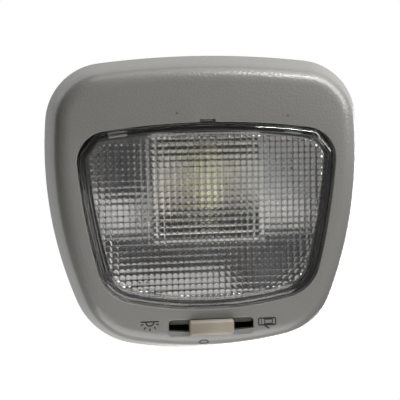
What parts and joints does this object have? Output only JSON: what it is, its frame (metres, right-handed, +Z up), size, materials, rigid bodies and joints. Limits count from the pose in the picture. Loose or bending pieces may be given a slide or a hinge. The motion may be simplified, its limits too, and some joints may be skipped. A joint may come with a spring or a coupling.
{
  "type": "car dome light",
  "caption": "Ceiling lamp for a car: rounded trapezoid bezel, clear pillow-optic lens, festoon bulb, slide switch and rear connector socket.",
  "frame": {"origin": "midway between the two roof screw holes, on the plane that meets the headliner", "axes": "+Z up into the roof, so the lens looks down along -Z; +Y from the lens towards the switch; +X to the right as seen from below with the switch at the bottom"},
  "size_m": [0.1388, 0.1302, 0.0363],
  "materials": {
    "abs_grey": "fine moulded grain, satin",
    "clear_pc": "clear moulded, pillow optics inside",
    "tray_white": "moulded white reflector plastic",
    "bright_sheet": "bright rolled sheet",
    "base_black": "moulded dark polypropylene",
    "bulb_clear": "clear blown tube, warm tint",
    "cap_metal": "nickel-plated",
    "filament": "drawn tungsten",
    "spring_strip": "tinned spring strip",
    "rivet_metal": "tinned",
    "tinned_brass": "stamped, tinned and dull",
    "switch_black": "moulded black acetal",
    "knob_beige": "fine eroded grain",
    "carriage_black": "moulded black acetal",
    "phosphor_bronze": "sprung phosphor bronze",
    "ball_steel": "polished ball",
    "spring_steel": "drawn spring wire",
    "screw_zinc": "zinc plated"
  },
  "bodies": {
    "lamp": {"bezel": "abs_grey", "lens": "clear_pc", "light_tray": "tray_white", "reflector": "bright_sheet", "base": "base_black", "bulb_glass": "bulb_clear", "bulb_cap_top": "cap_metal", "bulb_cap_low": "cap_metal", "bulb_filament": "filament", "bulb_clip_lamp": "spring_strip", "bulb_clip_feed": "spring_strip", "clip_rivets": "rivet_metal", "feed_strip": "tinned_brass", "ground_strip": "tinned_brass", "door_strip": "tinned_brass", "lamp_strip": "tinned_brass", "switch_housing": "switch_black", "base_screws": "screw_zinc"},
    "slider": {"switch_knob": "knob_beige", "switch_carriage": "carriage_black", "contact_bridge": "phosphor_bronze", "detent_balls": "ball_steel", "detent_springs": "spring_steel"}
  },
  "joints": [
    {"name": "switch_slide", "type": "slide", "parent": "lamp", "child": "slider", "axis": [1, 0, 0], "range_m": [-0.0085, 0.0085]}
  ]
}
